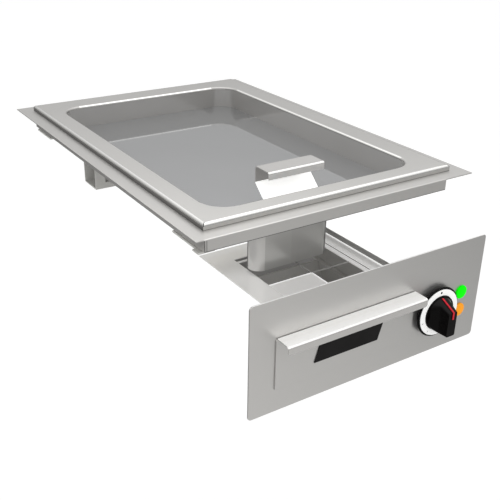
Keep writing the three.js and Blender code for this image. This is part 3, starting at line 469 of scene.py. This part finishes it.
def finish_for(name):
    for start, finish in finish_of.items():
        if name.startswith(start):
            return finishes[finish]
    return finishes["frame"]


def dress(piece, material):
    piece.data.materials.clear()
    piece.data.materials.append(material)


for name, node in frame["nodes"].items():
    dress(node, finish_for(name))


# Sheet work, in millimetres: how near a place has to be, and which points are merged
NEAR, CLOSE_POINTS = 0.02, 0.005
FOLD_ANGLE, SOLID_ANGLE, DOT_ANGLE, FLAT_ANGLE = (math.radians(a) for a in (30.0, 25.0, 40.0, 0.5))
EDGE_SEGMENTS = 2
QUARTER_TURN = math.pi / 2


def begin(name, add, **settings):
    bpy.ops.object.select_all(action="DESELECT")
    add(**settings)
    piece = bpy.context.object
    piece.name = name
    bpy.ops.object.transform_apply(location=True, rotation=True, scale=True)
    bpy.ops.object.mode_set(mode="EDIT")
    bpy.ops.mesh.select_all(action="SELECT")
    return piece


def lying_sheet(name, x, y, z):
    centre = mm(middle(x), middle(y), z)
    piece = begin(name, bpy.ops.mesh.primitive_plane_add, size=1.0, location=centre)
    bpy.ops.transform.resize(value=(*mm(span(x), span(y)), 1.0), center_override=centre)
    return piece


def standing_sheet(name, x, y, z):
    centre = mm(middle(x), y, middle(z))
    piece = begin(name, bpy.ops.mesh.primitive_plane_add, size=1.0, location=centre,
                  rotation=(QUARTER_TURN, 0.0, 0.0))
    wide, high = mm(span(x), span(z))
    bpy.ops.transform.resize(value=(wide, 1.0, high), center_override=centre)
    return piece


def region(x=None, y=None, z=None):
    def chosen(place):
        for value, limits in zip(place, (x, y, z)):
            if limits is None:
                continue
            low, high = limits if isinstance(limits, tuple) else (limits, limits)
            if not low - NEAR <= value <= high + NEAR:
                return False
        return True
    return chosen


def pick(kind, chosen):
    bpy.ops.mesh.select_mode(type=kind)
    bpy.ops.mesh.select_all(action="DESELECT")
    mesh = bpy.context.object.data
    shape = bmesh.from_edit_mesh(mesh)
    parts = {"VERT": shape.verts, "EDGE": shape.edges, "FACE": shape.faces}[kind]
    for part in parts:
        corners = [part.co] if kind == "VERT" else [corner.co for corner in part.verts]
        if all(chosen(corner / MM) for corner in corners):
            part.select_set(True)
    bmesh.update_edit_mesh(mesh)


def pull(x=0.0, y=0.0, z=0.0):
    bpy.ops.mesh.extrude_region_move(TRANSFORM_OT_translate={"value": mm(x, y, z)})


def round_fold(radius, steps=8):
    bpy.ops.mesh.bevel(offset=radius * MM, segments=steps, affect="EDGES")


def round_corners(radius, steps):
    bpy.ops.mesh.bevel(offset=radius * MM, segments=steps, affect="VERTICES")


def round_outline(radius, steps=12):
    bpy.ops.mesh.select_mode(type="VERT")
    bpy.ops.mesh.select_all(action="SELECT")
    round_corners(radius, steps)


def slice_at(axis, *places):
    direction = {"x": (1.0, 0.0, 0.0), "y": (0.0, 1.0, 0.0), "z": (0.0, 0.0, 1.0)}[axis]
    for place in places:
        bpy.ops.mesh.select_all(action="SELECT")
        point = tuple(place * MM * share for share in direction)
        bpy.ops.mesh.bisect(plane_co=point, plane_no=direction)


def open_face(x=None, y=None, z=None):
    pick("FACE", region(x, y, z))
    bpy.ops.mesh.delete(type="FACE")


def soften(piece, edge, angle):
    bpy.ops.object.shade_smooth_by_angle(angle=angle)
    bevel = piece.modifiers.new("edge", "BEVEL")
    bevel.width = edge * MM
    bevel.segments = EDGE_SEGMENTS
    bevel.limit_method = "ANGLE"
    bevel.angle_limit = angle
    bevel.use_clamp_overlap = True
    bevel.miter_outer = "MITER_ARC"
    flat = piece.modifiers.new("flat_faces", "WEIGHTED_NORMAL")
    flat.keep_sharp = True


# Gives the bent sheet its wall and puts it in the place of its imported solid
def settle(piece, node_name, sheet, edge, outside=False):
    bpy.ops.mesh.select_all(action="SELECT")
    bpy.ops.mesh.remove_doubles(threshold=CLOSE_POINTS * MM)
    if outside:
        bpy.ops.mesh.normals_make_consistent(inside=False)
    bpy.ops.object.mode_set(mode="OBJECT")
    wall = piece.modifiers.new("sheet", "SOLIDIFY")
    wall.thickness = sheet * MM
    wall.offset = -1.0
    wall.use_even_offset = True
    bpy.ops.object.modifier_apply(modifier=wall.name)
    soften(piece, edge, FOLD_ANGLE)
    dress(piece, finish_for(node_name))
    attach(piece, frame["nodes"][node_name]["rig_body"])
    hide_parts(node_name)


# Gives each zone, the faces whose middle lies inside its limits, a finish of its own
def paint(piece, zones):
    for finish, limits in zones:
        piece.data.materials.append(finishes[finish])
        slot = len(piece.data.materials) - 1
        chosen = region(**limits)
        for face in piece.data.polygons:
            if chosen(face.center / MM):
                face.material_index = slot


# The worktop sheet: flange, raised rim, the pan's wall and the lip in front
WORKTOP_SHEET = 1.2
RIM_TOP = WORKTOP_Z[1]
FLANGE_TOP = WORKTOP_SHEET
RIM_ROUND = 4.0
RIM_FLAT_X = (WORKTOP_X[0] + FLANGE_WIDTH + RIM_ROUND, WORKTOP_X[1] - FLANGE_WIDTH - RIM_ROUND)
RIM_FLAT_Y = (WORKTOP_Y[0] + FLANGE_WIDTH + RIM_ROUND, WORKTOP_Y[1] - FLANGE_WIDTH - RIM_ROUND)
LIP_X = (-190.2, 154.8)
LIP_ROUND, LIP_DROP, LIP_END = 1.4, 12.9, 4.5
# Painted dark lines on the lip: painted shade along its lower edge, and two dark lines near its left end
LIP_SHADE_LINE_Z, LIP_DARK_LINES_X = -12.3, (-189.2, -187.6, -186.8)
LIP_FACE_Y, LIP_FACE_Z = (-11.1, -10.2), (-13.2, -0.3)
LIP_ZONES = (
    ("seam", {"x": LIP_X, "y": LIP_FACE_Y, "z": (LIP_FACE_Z[0], LIP_SHADE_LINE_Z)}),
    ("seam", {"x": (LIP_X[0], LIP_DARK_LINES_X[0]), "y": LIP_FACE_Y, "z": LIP_FACE_Z}),
    ("seam", {"x": LIP_DARK_LINES_X[1:], "y": LIP_FACE_Y, "z": LIP_FACE_Z}),
)

# The pan: the plate that is its floor, the well that stands on it and the polished bend of its mouth
PLATE_X, PLATE_Y, PLATE_Z = reach("griddle_plate")
PLATE_REST = 5.5
PAN_X, PAN_Y = middle(PLATE_X), middle(PLATE_Y)
PAN_HALF_WIDTH, PAN_HALF_LENGTH = span(PLATE_X) / 2 - PLATE_REST, span(PLATE_Y) / 2 - PLATE_REST
PAN_DEPTH = RIM_TOP - PLATE_Z[1]
MOUTH = 8.0
MOUTH_CORNER, MOUTH_ROUND = 38.0, 3.0
MOUTH_SKIP, MOUTH_SKIP_CORNER = 0.5, 1.0
PLATE_CORNER = 35.5
DRAIN_X, DRAIN_Y = (-42.5, 43.1), (90.5, 105.0)

# Where the rim's finishes change: the well's reach, levels, and the straight parts of the bend
WELL_HALF_WIDTH, WELL_HALF_LENGTH, WELL_TOP = 151.2, 231.9, 6.2
BEND_LOW, BEND_HIGH, BEND_SLOPES = 5.2, 9.19, (0.1, 0.999)
BEND_MIDDLE, BEND_HALF_WIDTH, BEND_Y = -8.0, 104.0, (60.0, 462.0)
RIM_SIDE_X, UPRIGHT = 181.0, 0.1


def form_worktop():
    piece = lying_sheet("worktop_sheet", WORKTOP_X, WORKTOP_Y, FLANGE_TOP)
    bpy.ops.mesh.inset(thickness=FLANGE_WIDTH * MM)
    pull(z=RIM_TOP - FLANGE_TOP)
    pick("EDGE", region(z=RIM_TOP))
    round_fold(RIM_ROUND)
    open_face(RIM_FLAT_X, RIM_FLAT_Y, RIM_TOP)
    bend_lip()
    well = pan_well()
    bpy.ops.object.select_all(action="DESELECT")
    well.select_set(True)
    piece.select_set(True)
    bpy.context.view_layer.objects.active = piece
    bpy.ops.object.join()
    bpy.ops.object.mode_set(mode="EDIT")
    pick("EDGE", lambda place: abs(place.z - RIM_TOP) < NEAR and on_border(place))
    bpy.ops.mesh.bridge_edge_loops()
    settle(piece, "top_frame", WORKTOP_SHEET, edge=0.2)
    paint_rim(piece)
    paint(piece, LIP_ZONES)


def bend_lip():
    slice_at("x", *LIP_X)
    fold_y = WORKTOP_Y[0] + LIP_ROUND
    fold_z = FLANGE_TOP - LIP_ROUND
    slice_at("y", fold_y)
    open_face(LIP_X, (WORKTOP_Y[0], fold_y), FLANGE_TOP)
    pick("EDGE", region(LIP_X, fold_y, FLANGE_TOP))
    bpy.ops.mesh.spin(steps=6, angle=-QUARTER_TURN, center=mm(0.0, fold_y, fold_z),
                      axis=(1.0, 0.0, 0.0))
    pick("EDGE", region(LIP_X, WORKTOP_Y[0], fold_z))
    pull(z=-LIP_DROP)
    pick("EDGE", region(LIP_X[0], WORKTOP_Y[0], (fold_z - LIP_DROP, fold_z)))
    pull(y=LIP_END)
    slice_at("x", *LIP_DARK_LINES_X)
    slice_at("z", LIP_SHADE_LINE_Z)
    bpy.ops.object.mode_set(mode="OBJECT")


# The pan's limits along X and Y, widened all round
def pan_limits(more):
    return ((PAN_X - PAN_HALF_WIDTH - more, PAN_X + PAN_HALF_WIDTH + more),
            (PAN_Y - PAN_HALF_LENGTH - more, PAN_Y + PAN_HALF_LENGTH + more))


def pan_well():
    piece = lying_sheet("pan_well", *pan_limits(MOUTH), RIM_TOP)
    round_outline(MOUTH_CORNER)
    pick("FACE", region(z=RIM_TOP))
    bpy.ops.mesh.inset(thickness=MOUTH * MM)
    pull(z=-PAN_DEPTH)
    bpy.ops.mesh.delete(type="FACE")
    pick("EDGE", lambda place: abs(place.z - RIM_TOP) < NEAR and not outside_well(place))
    round_fold(MOUTH_ROUND)
    bpy.ops.object.mode_set(mode="OBJECT")
    return piece


# Whether a place is on or past the outline of the pan's mouth
def outside_well(place):
    across = abs(place.x - PAN_X) - (PAN_HALF_WIDTH + MOUTH - MOUTH_CORNER)
    along = abs(place.y - PAN_Y) - (PAN_HALF_LENGTH + MOUTH - MOUTH_CORNER)
    if across > 0.0 and along > 0.0:
        return math.hypot(across, along) > MOUTH_CORNER - MOUTH_SKIP_CORNER
    return max(across, along) > MOUTH_CORNER - MOUTH_SKIP


# The borders that the bridge joins: the opening in the rim's flat top and the mouth's outline
def on_border(place):
    on_side = any(abs(place.x - side) < NEAR for side in RIM_FLAT_X)
    on_end = any(abs(place.y - end) < NEAR for end in RIM_FLAT_Y)
    return on_side or on_end or outside_well(place)


# The rim's walls have painted shade: its left and right walls are dark, darkest at the foot, and its
# front and back walls have a dark painted line at the foot; the pan's wall and the bend round its mouth
# have finishes of their own
def paint_rim(piece):
    for finish in ("rim_side", "rim_front", "pan_wall", "bend"):
        piece.data.materials.append(finishes[finish])
    plain, side, front, wall, bend = range(5)
    for face in piece.data.polygons:
        place, normal = face.center / MM, face.normal
        within = abs(place.x - PAN_X) < WELL_HALF_WIDTH and abs(place.y - PAN_Y) < WELL_HALF_LENGTH
        in_well = within and not outside_well(place)
        if in_well and place.z < WELL_TOP:
            face.material_index = wall
        elif BEND_LOW < place.z < BEND_HIGH and BEND_SLOPES[0] < normal.z < BEND_SLOPES[1]:
            straight = abs(place.x - BEND_MIDDLE) < BEND_HALF_WIDTH or BEND_Y[0] < place.y < BEND_Y[1]
            face.material_index = bend if straight or not in_well else plain
        elif abs(normal.z) < UPRIGHT and FLANGE_TOP < place.z and abs(place.x) < RIM_SIDE_X:
            face.material_index = side if abs(normal.x) > abs(normal.y) else front


def form_griddle_plate():
    piece = lying_sheet("griddle_slab", PLATE_X, PLATE_Y, PLATE_Z[1])
    round_outline(PLATE_CORNER)
    slice_at("x", *DRAIN_X)
    slice_at("y", *DRAIN_Y)
    open_face(DRAIN_X, DRAIN_Y)
    settle(piece, "griddle_plate", span(PLATE_Z), edge=0.3)


# The chute: a flat round tube, with painted reflections on its front: a light band at its round left
# end, a lighter left half, and painted shade where each end turns away
CHUTE_CORNER, CHUTE_SHEET = 14.45, 1.5
CHUTE_JOINT = -5.0
CHUTE_ZONES = (
    ("chute_left_painted_light", {"x": (-45.5, CHUTE_JOINT)}),
    ("chute_end_painted_highlight", {"x": (-60.3, -45.7)}),
    ("seam", {"x": (-60.3, -45.7), "y": (106.5, 118.1)}),
    ("seam", {"x": (49.0, 58.0), "y": (89.0, 104.0)}),
)


def form_chute():
    x, y, z = reach("drain_chute")
    piece = lying_sheet("rolled_chute", x, y, z[0])
    round_outline(CHUTE_CORNER, steps=16)
    pick("FACE", region(z=z[0]))
    pull(z=span(z))
    for level in z:
        open_face(z=level)
    slice_at("x", CHUTE_JOINT)
    settle(piece, "drain_chute", CHUTE_SHEET, edge=0.2, outside=True)
    paint(piece, CHUTE_ZONES)


# The plug: a lip in front, the grip on top, the web behind it and the blade that slants forward
PLUG_SHEET, PLUG_FOLD = 1.5, 2.5
PLUG_LIP, PLUG_WEB = 10.0, 21.5
BLADE_Y, BLADE_FOLD = -29.2, 0.6
# Painted light on the plug: the slanted blade glows white as a painted highlight, its front lip is a
# lighter copy of its steel, and a painted highlight line runs along its front fold
PLUG_ZONES = (
    ("blade", {"z": (-60.0, -8.5)}),
    ("grip_lip", {"y": (90.0, 92.5), "z": (3.0, 11.3)}),
    ("bright", {"y": (90.0, 93.2), "z": (11.6, 13.6)}),
)


def form_plug():
    x, y, z = reach("drain_plug")
    front, back = y
    top = z[1]
    web_end = top - PLUG_WEB
    piece = lying_sheet("bent_plug", x, y, top)
    pick("EDGE", region(y=front))
    pull(z=-PLUG_LIP)
    pick("EDGE", region(y=back))
    pull(z=-PLUG_WEB)
    pull(y=BLADE_Y, z=z[0] - web_end)
    for fold in y:
        pick("EDGE", region(y=fold, z=top))
        round_fold(PLUG_FOLD)
    pick("EDGE", region(y=back, z=web_end))
    round_fold(BLADE_FOLD, steps=3)
    settle(piece, "drain_plug", PLUG_SHEET, edge=0.2)
    paint(piece, PLUG_ZONES)


# The drawer's handle: a shelf with a lip that hangs down in front
HANDLE_BACK, HANDLE_SHEET, HANDLE_FOLD, HANDLE_CORNER = -14.0, 1.5, 3.0, 3.5
# Painted light on the handle: its top lighter towards the front, and a painted highlight along its front
# fold
HANDLE_ZONES = (
    ("handle_top", {"y": (-35.0, -13.0), "z": (-146.6, -145.0)}),
    ("bright", {"y": (-37.2, -34.2), "z": (-148.0, -145.9)}),
)


def form_handle():
    x, y, z = reach("drawer_handle")
    piece = lying_sheet("bent_handle", x, (y[0], HANDLE_BACK), z[1])
    pick("EDGE", region(y=y[0]))
    pull(z=-span(z))
    pick("VERT", region(y=y[0], z=z[0]))
    round_corners(HANDLE_CORNER, steps=6)
    pick("EDGE", region(y=y[0], z=z[1]))
    round_fold(HANDLE_FOLD)
    settle(piece, "drawer_handle", HANDLE_SHEET, edge=0.3)
    paint(piece, HANDLE_ZONES)


# The flat fronts: the drawer's, and the panel with its opening for the drawer
DRAWER_CORNER, PANEL_CORNER = 1.2, 5.0
DRAWER_CUT_X, DRAWER_CUT_Z = (-91.0, 114.3), (-213.0, -152.5)
# A painted highlight along the panel's top edge
PANEL_ZONES = (("bright", {"z": (-94.5, -93.9)}),)


def form_drawer_front():
    x, y, z = reach("drawer_front")
    piece = standing_sheet("drawer_sheet", x, y[0], z)
    round_outline(DRAWER_CORNER, steps=4)
    settle(piece, "drawer_front", span(y), edge=0.3)


def form_panel():
    x, y, z = reach("front_panel")
    piece = standing_sheet("panel_sheet", x, y[0], z)
    round_outline(PANEL_CORNER, steps=8)
    slice_at("x", *DRAWER_CUT_X)
    slice_at("z", *DRAWER_CUT_Z)
    open_face(DRAWER_CUT_X, z=DRAWER_CUT_Z)
    settle(piece, "front_panel", span(y), edge=0.4)
    paint(piece, PANEL_ZONES)


# The cover: a flat sheet with windows and a slot, an upstand at its right and a fold in front
COVER_SHEET = 1.2
COVER_TOP, UPSTAND_FOLD = -121.0, 1.2
LEFT_WINDOW_X, RIGHT_WINDOW_X = (-58.3, 7.0), (8.6, 69.0)
BACK_WINDOW_Y, FRONT_WINDOW_Y, SLOT_Y = (60.8, 132.0), (8.0, 59.2), (135.5, 143.5)
LIGHT_LINE_X, LIGHT_LINE_Y = 6.4, 58.4
COVER_SEAM_X = (76.4, 77.9)
COVER_FOLD = 1.5
COVER_LEVEL, COVER_FACE = (-123.0, -120.0), (-121.9, -120.9)
# Painted light on the cover: glowing tiles, thin painted highlight lines along the front tile's back and
# right edges and along the upstand's fold, painted shade on the upstand and the ribs, and the dark seam
COVER_ZONES = (
    ("tile", {"x": (-58.1, 8.6), "y": (-9.0, 60.8), "z": COVER_LEVEL}),
    ("blade", {"x": (-58.1, 8.6), "y": (58.5, 60.8), "z": COVER_FACE}),
    ("blade", {"x": (6.5, 8.6), "y": (8.0, 60.8), "z": COVER_FACE}),
    ("tile", {"x": (78.0, 96.7), "z": COVER_FACE}),
    ("seam", {"x": COVER_SEAM_X, "z": COVER_LEVEL}),
    ("tile", {"x": (RIGHT_WINDOW_X[1], COVER_SEAM_X[0]), "z": COVER_FACE}),
    ("upstand", {"x": (97.9, 99.3), "z": (-119.7, -112.0)}),
    ("blade", {"x": (96.7, 98.1), "z": (-121.1, -119.8)}),
    ("rib", {"x": (6.9, 69.0), "y": (59.0, 61.0), "z": COVER_LEVEL}),
    ("rib", {"x": (6.9, 8.7), "y": (60.0, 132.0), "z": COVER_LEVEL}),
)


def form_cover():
    x, y, z = reach("lower_cover")
    right = x[1] - COVER_SHEET
    piece = lying_sheet("cover_sheet", (x[0], right), y, COVER_TOP)
    pick("EDGE", region(x=right))
    pull(z=z[1] - COVER_TOP)
    pick("EDGE", region(x=right, z=COVER_TOP))
    round_fold(UPSTAND_FOLD, steps=4)
    slice_at("x", LEFT_WINDOW_X[0], LIGHT_LINE_X, LEFT_WINDOW_X[1], *RIGHT_WINDOW_X, *COVER_SEAM_X)
    slice_at("y", FRONT_WINDOW_Y[0], LIGHT_LINE_Y, FRONT_WINDOW_Y[1], *BACK_WINDOW_Y, *SLOT_Y)
    open_face(LEFT_WINDOW_X, BACK_WINDOW_Y)
    open_face(RIGHT_WINDOW_X, BACK_WINDOW_Y)
    open_face(RIGHT_WINDOW_X, FRONT_WINDOW_Y)
    open_face((LEFT_WINDOW_X[0], RIGHT_WINDOW_X[1]), SLOT_Y)
    front_edge = region((x[0], right - UPSTAND_FOLD), y[0], COVER_TOP)
    pick("EDGE", front_edge)
    pull(z=z[0] - COVER_TOP)
    pick("EDGE", front_edge)
    round_fold(COVER_FOLD, steps=5)
    settle(piece, "lower_cover", COVER_SHEET, edge=0.4)
    paint(piece, COVER_ZONES)


form_worktop()
form_griddle_plate()
form_chute()
form_plug()
form_handle()
form_drawer_front()
form_panel()
form_cover()


# Mouldings and small sheets with their real edges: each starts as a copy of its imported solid
edges = {
    "skirt_left": 0.2, "skirt_right": 0.2, "skirt_rear": 0.2, "clamp_front_left": 0.3,
    "rear_channel": 0.2, "knob_bezel": 0.3, "dial_ring": 0.1, "control_knob": 0.8,
    "lamp_lens_green": 0.2, "lamp_lens_orange": 0.2,
}
SOLID_POINTS = 0.01


def edged_copy(node_name, edge):
    node = frame["nodes"][node_name]
    bpy.ops.object.select_all(action="DESELECT")
    node.select_set(True)
    bpy.context.view_layer.objects.active = node
    bpy.ops.object.duplicate()
    piece = bpy.context.object
    piece.name = node_name + "_edged"
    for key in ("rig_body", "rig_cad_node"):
        del piece[key]
    piece.parent = None
    bpy.ops.object.mode_set(mode="EDIT")
    bpy.ops.mesh.select_all(action="SELECT")
    bpy.ops.mesh.remove_doubles(threshold=SOLID_POINTS * MM)
    bpy.ops.mesh.dissolve_limited(angle_limit=FLAT_ANGLE)
    bpy.ops.object.mode_set(mode="OBJECT")
    soften(piece, edge, SOLID_ANGLE)
    dress(piece, finish_for(node_name))
    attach(piece, node["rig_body"])
    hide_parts(node_name)


for name, edge in edges.items():
    edged_copy(name, edge)


# The dial's starting mark: a shallow black dot inlaid in the white ring
DOT_ABOVE_CENTRE, DOT_RADIUS, DOT_POINTS = 29.5, 1.7, 24
DOT_CLEAR, DOT_RISE, DOT_FACE_SHARE = 0.02, 0.12, 0.85
DOT_PLACE = mm(DIAL_X, DIAL_FACE - DOT_CLEAR, DIAL_Z + DOT_ABOVE_CENTRE)


def inlay_dot():
    piece = begin("dial_start_dot", bpy.ops.mesh.primitive_circle_add, vertices=DOT_POINTS,
                  radius=DOT_RADIUS * MM, fill_type="NGON", location=DOT_PLACE,
                  rotation=(QUARTER_TURN, 0.0, 0.0))
    pull(y=-DOT_RISE)
    bpy.ops.transform.resize(value=(DOT_FACE_SHARE, 1.0, DOT_FACE_SHARE), center_override=DOT_PLACE)
    bpy.ops.object.mode_set(mode="OBJECT")
    bpy.ops.object.shade_smooth_by_angle(angle=DOT_ANGLE)
    dress(piece, finishes["bezel"])
    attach(piece, frame["nodes"]["dial_ring"]["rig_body"])


inlay_dot()


# The studio's light by height, from below (0) to above (1), as it falls and as steel mirrors it
STUDIO_TONES = ((0.0, 0.6), (0.5, 0.95), (0.6, 1.0), (0.8, 1.0), (0.92, 0.55), (1.0, 0.5))
MIRRORED_TONES = ((0.0, 0.15), (0.45, 0.17), (0.52, 0.22), (0.63, 0.33), (0.72, 0.46), (0.81, 0.70),
                  (0.9, 0.95), (1.0, 1.0))
STUDIO_STRENGTH, MIRRORED_STRENGTH, STUDIO_BLUE = 1.15, 2.0, 0.995


def light_studio():
    world = bpy.data.worlds.new("studio")
    bpy.context.scene.world = world
    graph = Graph(world)
    direction = graph.node("ShaderNodeTexCoord").outputs["Generated"]
    height = graph.node("ShaderNodeMapRange", Value=graph.axes(direction)["Z"], From_Min=-1.0)
    ray = graph.node("ShaderNodeLightPath").outputs

    def sky(tones, strength):
        colour = graph.greys(height.outputs["Result"], tones, STUDIO_BLUE)
        return graph.node("ShaderNodeBackground", Color=colour, Strength=strength).outputs[0]

    shown = sky(STUDIO_TONES, STUDIO_STRENGTH)
    mirrored = sky(MIRRORED_TONES, MIRRORED_STRENGTH)
    white = graph.node("ShaderNodeBackground", Color=WHITE).outputs[0]
    shown = graph.join("ShaderNodeMixShader", ray["Is Glossy Ray"], shown, mirrored)
    shown = graph.join("ShaderNodeMixShader", ray["Is Camera Ray"], shown, white)
    graph.finish(shown, "ShaderNodeOutputWorld")


SOFTBOX_PLACE, SOFTBOX_SIZE, SOFTBOX_POWER = (0.1, 0.3, 1.5), (2.0, 1.6), 5.0


def hang_softbox():
    bpy.ops.object.light_add(type="AREA", location=SOFTBOX_PLACE)
    lamp = bpy.context.object
    lamp.name = "softbox"
    lamp.data.shape = "RECTANGLE"
    lamp.data.size, lamp.data.size_y = SOFTBOX_SIZE
    lamp.data.energy = SOFTBOX_POWER


# The plain pale floor, and the soft rise and fall of light across it that steel mirrors
FLOOR_SIZE, FLOOR_LEVEL = 24.0, -0.85
FLOOR_PAINT, FLOOR_MIRRORED = (0.9, 0.9, 0.9, 1.0), (1.0, 0.995, 0.98, 1.0)
FLOOR_LIFT = 0.2
FLOOR_RISE = {"From_Min": -1.1, "From_Max": 0.5, "To_Min": 0.16, "To_Max": 0.64}
FLOOR_FALL = {"From_Min": 1.0, "From_Max": 3.2, "To_Min": 1.0, "To_Max": 0.66}


def lay_floor():
    bpy.ops.mesh.primitive_plane_add(size=FLOOR_SIZE, location=(0.0, 0.0, FLOOR_LEVEL))
    floor = bpy.context.object
    floor.name = "studio_floor"
    graph = new_finish("pale_floor")
    axes = graph.axes(graph.place())
    lean = graph.work_out("SUBTRACT", axes["X"], axes["Y"])
    ray = graph.node("ShaderNodeLightPath").outputs

    def slope(limits):
        smooth = {"interpolation_type": "SMOOTHSTEP"}
        return graph.node("ShaderNodeMapRange", smooth, Value=lean, **limits).outputs["Result"]

    mirrored = graph.work_out("MULTIPLY", slope(FLOOR_RISE), slope(FLOOR_FALL))
    lift = graph.work_out("MULTIPLY", ray["Is Camera Ray"], FLOOR_LIFT)
    painted = graph.node("ShaderNodeBsdfDiffuse", Color=FLOOR_PAINT).outputs[0]
    lifted = graph.node("ShaderNodeEmission", Strength=lift).outputs[0]
    seen = graph.join("ShaderNodeAddShader", painted, lifted)
    glow = graph.node("ShaderNodeEmission", Strength=mirrored, Color=FLOOR_MIRRORED).outputs[0]
    dress(floor, graph.finish(graph.join("ShaderNodeMixShader", ray["Is Glossy Ray"], seen, glow)))


place_camera()
light_studio()
hang_softbox()
lay_floor()
bpy.context.scene.view_settings.view_transform = "Standard"
